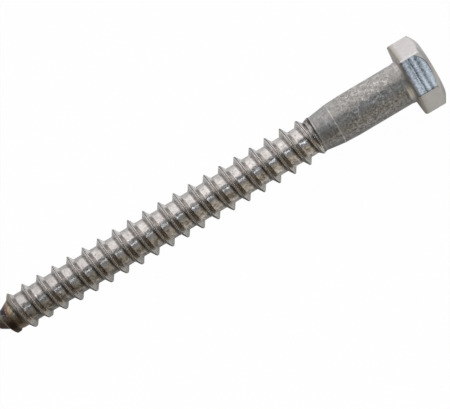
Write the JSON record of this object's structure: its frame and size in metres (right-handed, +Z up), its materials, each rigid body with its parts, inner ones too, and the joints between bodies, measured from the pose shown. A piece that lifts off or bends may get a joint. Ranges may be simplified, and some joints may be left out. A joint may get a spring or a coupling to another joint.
{
  "type": "hex lag screw",
  "caption": "Hex head lag screw with a plain shank, a coarse right-hand wood thread and a cone point, for fastening timber from one side.",
  "frame": {"origin": "centre of the footprint on the surface the screw lies on", "axes": "+X along the screw from the point to the head, along the ground, with the axis itself rising 1.4 degrees to the head; +Z up, through one flat of the hexagon"},
  "size_m": [0.1052, 0.016, 0.014],
  "materials": {
    "screw_steel": "dull rolled and forged steel, lightly brushed on the roots, with heat tint at the point"
  },
  "bodies": {
    "root": {"lag_screw": "screw_steel"}
  },
  "joints": []
}
